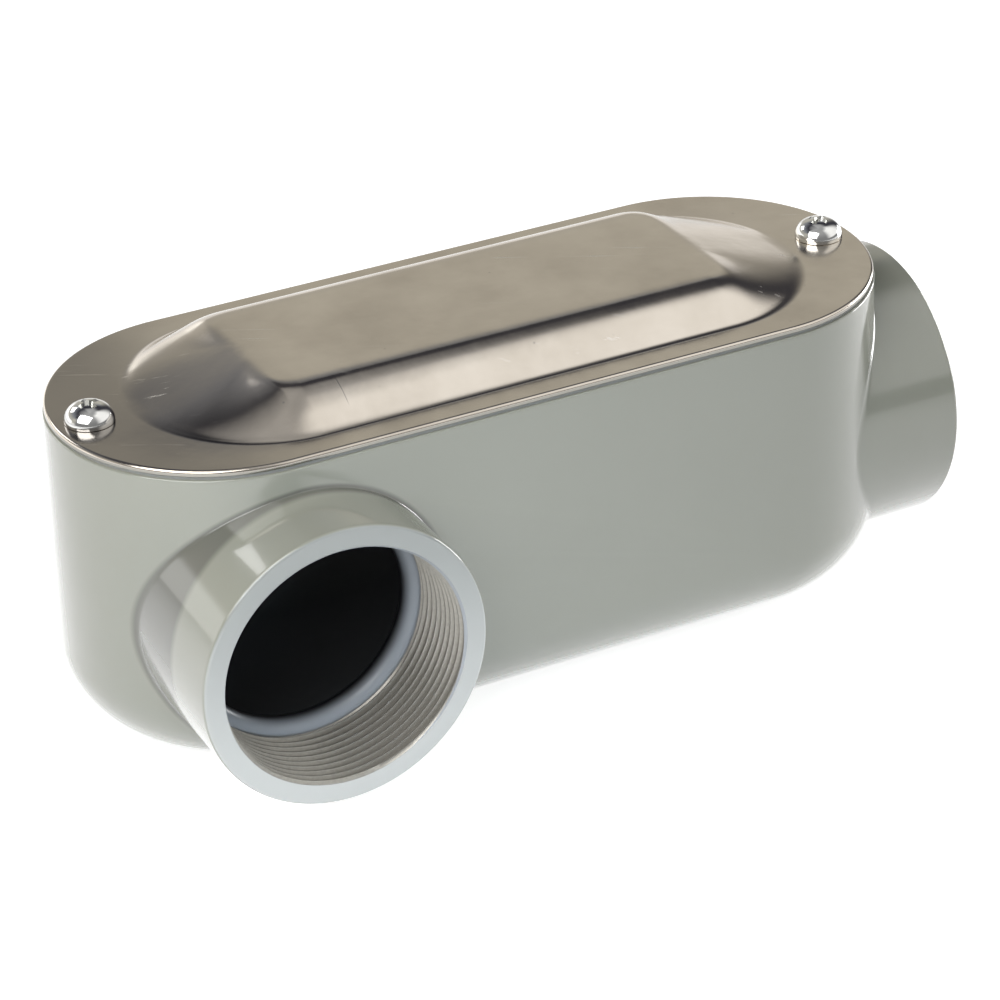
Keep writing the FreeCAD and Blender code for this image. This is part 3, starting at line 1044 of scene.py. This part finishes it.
def buildFloor():
    bm = bmesh.new()
    bmesh.ops.create_grid(bm, x_segments=1, y_segments=1, size=stage["floorSize"] / 2)
    mesh = bpy.data.meshes.new("floor")
    bm.to_mesh(mesh)
    bm.free()
    floor = bpy.data.objects.new("floor", mesh)
    bpy.context.scene.collection.objects.link(floor)
    floor.location.z = -stage["floorDrop"]
    material = bpy.data.materials.new("floorPaper")
    material.use_nodes = True
    tree = material.node_tree
    shader = tree.nodes["Principled BSDF"]
    shader.inputs["Base Color"].default_value = (*stage["floor"], 1)
    shader.inputs["Roughness"].default_value = stage["floorRoughness"]
    shader.inputs["Specular IOR Level"].default_value = 0.0
    ray = addNode(tree, "ShaderNodeLightPath")
    seen = addNode(
        tree,
        "ShaderNodeMath",
        {0: ray.outputs["Is Camera Ray"], 1: stage["floorGlow"]},
        operation="MULTIPLY",
    )
    glow = addNode(
        tree,
        "ShaderNodeMath",
        {0: ray.outputs["Is Glossy Ray"], 1: stage["floorShine"], 2: seen.outputs[0]},
        operation="MULTIPLY_ADD",
    )
    shader.inputs["Emission Color"].default_value = (1, 1, 1, 1)
    tree.links.new(glow.outputs[0], shader.inputs["Emission Strength"])
    mesh.materials.append(material)


buildFloor()

# The studio's brightness at heights above the horizon, given as the sine of the height,
# behind the part and in front of it
skyBehind = [
    (-0.2, (1.0, 1.0, 1.0)),
    (0.10, (0.95, 0.92, 0.88)),
    (0.17, (0.60, 0.58, 0.53)),
    (0.26, (0.50, 0.48, 0.43)),
    (0.40, (0.56, 0.54, 0.475)),
    (0.50, (0.53, 0.51, 0.45)),
    (0.56, (0.34, 0.34, 0.34)),
    (0.62, (0.22, 0.23, 0.25)),
    (0.68, (0.04, 0.04, 0.05)),
    (0.79, (0.04, 0.04, 0.05)),
    (0.87, (0.42, 0.42, 0.42)),
    (1.0, (0.5, 0.5, 0.5)),
]
skyBefore = [
    (-0.2, (0.25, 0.25, 0.25)),
    (0.3, (0.25, 0.25, 0.25)),
    (0.5, (0.3, 0.3, 0.3)),
    (0.8, (0.4, 0.4, 0.4)),
    (1.0, (0.42, 0.42, 0.42)),
]
# A tall soft panel in front on the right and a bright window low on the left behind the part
skyPanel = [
    (0.17, (0.25, 0.25, 0.25)),
    (0.24, (1.15, 1.14, 1.12)),
    (0.90, (1.15, 1.14, 1.12)),
    (0.97, (0.42, 0.42, 0.42)),
]
skyWindow = [
    (-0.3, (1.4, 1.4, 1.4)),
    (0.20, (1.8, 1.8, 1.75)),
    (0.26, (0.6, 0.58, 0.54)),
    (0.40, (0.48, 0.465, 0.42)),
    (0.62, (0.25, 0.26, 0.285)),
    (0.84, (0.04, 0.04, 0.05)),
    (1.0, (0.42, 0.42, 0.42)),
]
# A dark side of the studio on the right
skyDark = [
    (-0.05, (0.5, 0.5, 0.5)),
    (0.05, (0.05, 0.05, 0.06)),
    (0.84, (0.05, 0.05, 0.06)),
    (0.92, (0.42, 0.42, 0.42)),
]
darkReach = {"turn": 108, "half": 12, "edge": 24}
panelReach = {"turn": 62, "half": 14, "edge": 40}
windowReach = {"turn": -148, "half": 34, "edge": 9}
behindFrom = (-0.15, 0.15)  # over which the sky in front turns into the sky behind
roomLight = 0.35  # share of the studio's brightness that lights dull surfaces


def addSkyRamp(tree, height, bands):
    ramp = addNode(tree, "ShaderNodeValToRGB", {0: height})
    elements = ramp.color_ramp.elements
    while len(elements) < len(bands):
        elements.new(0.5)
    for element, (sine, colour) in zip(elements, bands):
        element.position = (sine + 1) / 2
        element.color = (*colour, 1)
    return ramp.outputs[0]


# A mask for directions near a turn about the upright axis, from -Y toward +X in degrees
def addReach(tree, level, turn, half, edge):
    turned = math.radians(turn)
    toward = (math.sin(turned), -math.cos(turned), 0)
    facing = addNode(tree, "ShaderNodeVectorMath", {0: level, 1: toward}, operation="DOT_PRODUCT")
    outer, inner = (math.cos(math.radians(angle)) for angle in (half + edge, half))
    return addRange(tree, facing.outputs["Value"], outer, inner)


def buildSky():
    world = bpy.data.worlds.new("studio")
    bpy.context.scene.world = world
    world.use_nodes = True
    tree = world.node_tree
    tree.nodes.clear()
    where = addNode(tree, "ShaderNodeTexCoord").outputs["Generated"]
    apart = addNode(tree, "ShaderNodeSeparateXYZ", {0: where})
    rise = addNode(tree, "ShaderNodeMapRange", {"Value": apart.outputs["Z"], "From Min": -1.0})
    height = rise.outputs[0]
    flat = addNode(tree, "ShaderNodeVectorMath", {0: where, 1: (1, 1, 0)}, operation="MULTIPLY")
    level = addNode(tree, "ShaderNodeVectorMath", {0: flat.outputs[0]}, operation="NORMALIZE").outputs[0]
    behind = addRange(tree, apart.outputs["Y"], *behindFrom)
    sky = addSkyRamp(tree, height, skyBefore)
    sky = blendColour(tree, behind, sky, addSkyRamp(tree, height, skyBehind))
    for reach, bands in ((darkReach, skyDark), (panelReach, skyPanel), (windowReach, skyWindow)):
        sky = blendColour(tree, addReach(tree, level, **reach), sky, addSkyRamp(tree, height, bands))
    ray = addNode(tree, "ShaderNodeLightPath")
    strength = addNode(
        tree,
        "ShaderNodeMapRange",
        {"Value": ray.outputs["Is Glossy Ray"], "To Min": roomLight},
    )
    lit = addNode(tree, "ShaderNodeBackground", {"Color": sky, "Strength": strength.outputs[0]})
    white = addNode(tree, "ShaderNodeBackground", {"Color": (1, 1, 1, 1), "Strength": 1.0})
    mix = addNode(
        tree,
        "ShaderNodeMixShader",
        {0: ray.outputs["Is Camera Ray"], 1: lit.outputs[0], 2: white.outputs[0]},
    )
    addNode(tree, "ShaderNodeOutputWorld", {"Surface": mix.outputs[0]})


buildSky()

# Soft lights by their direction from the part in degrees, turned from -Y toward +X and raised
# above the floor, with distance and size in metres and brightness in watts
softLights = {
    "key": {"turn": -58, "rise": 45, "distance": 0.6, "size": (0.5, 0.5), "power": 3.0},
    "backLeft": {"turn": -158, "rise": 33, "distance": 1.2, "size": (0.44, 0.3), "power": 1.2},
    "rightRim": {"turn": 94, "rise": 4, "distance": 0.55, "size": (0.3, 0.2), "power": 1.8},
}
lightAim = Vector((0, 0, 0.04))
frontLow = {
    "place": (-0.1, -0.7, 0.1),
    "aim": (-0.055, 0, 0),
    "size": 0.3,
    "spread": 28,
    "power": 0.08,
    "colour": (0.82, 1.0, 1.2),
}


def addSoftLight(name, turn, rise, distance, size, power):
    light = bpy.data.lights.new(name, "AREA")
    light.shape = "RECTANGLE"
    light.size, light.size_y = size
    light.energy = power
    holder = bpy.data.objects.new(name, light)
    bpy.context.scene.collection.objects.link(holder)
    turned, raised = math.radians(turn), math.radians(rise)
    level = math.cos(raised)
    outward = Vector((math.sin(turned) * level, -math.cos(turned) * level, math.sin(raised)))
    holder.location = lightAim + outward * distance
    holder.rotation_euler = outward.to_track_quat("Z", "Y").to_euler()


# A cool light from low in front, narrow enough to fade out across the front wall. It is left
# out of reflections
def addFrontLow(place, aim, size, spread, power, colour):
    light = bpy.data.lights.new("frontLow", "AREA")
    light.size = size
    light.spread = math.radians(spread)
    light.energy = power
    light.color = colour
    holder = bpy.data.objects.new("frontLow", light)
    bpy.context.scene.collection.objects.link(holder)
    holder.location = place
    holder.visible_glossy = False
    holder.rotation_euler = (Vector(place) - Vector(aim)).to_track_quat("Z", "Y").to_euler()


for name, setup in softLights.items():
    addSoftLight(name, **setup)
addFrontLow(**frontLow)
print("stage lit")


# Camera

cameraSetup = {
    "turn": math.radians(-26.974),
    "height": math.radians(28.937),
    "roll": math.radians(-1.609),
    "distance": 0.8599,
    "aim": Vector((0.00638, 0, 0.03099)),
    "lens": 130.8,
}


def placeCamera():
    turn, height, roll = (cameraSetup[name] for name in ("turn", "height", "roll"))
    back = Vector((math.sin(turn) * math.cos(height), -math.cos(turn) * math.cos(height), math.sin(height)))
    right = Vector((math.cos(turn), math.sin(turn), 0))
    above = back.cross(right)
    tilted = right * math.cos(roll) + above * math.sin(roll)
    risen = above * math.cos(roll) - right * math.sin(roll)
    data = bpy.data.cameras.new("camera")
    data.sensor_width = 36
    data.lens = cameraSetup["lens"]
    data.clip_start, data.clip_end = 0.01, 20
    camera = bpy.data.objects.new("camera", data)
    bpy.context.scene.collection.objects.link(camera)
    pose = Matrix((tilted, risen, back)).transposed().to_4x4()
    pose.translation = cameraSetup["aim"] + back * cameraSetup["distance"]
    camera.matrix_world = pose
    bpy.context.scene.camera = camera


placeCamera()
bpy.context.scene.view_settings.view_transform = "Standard"
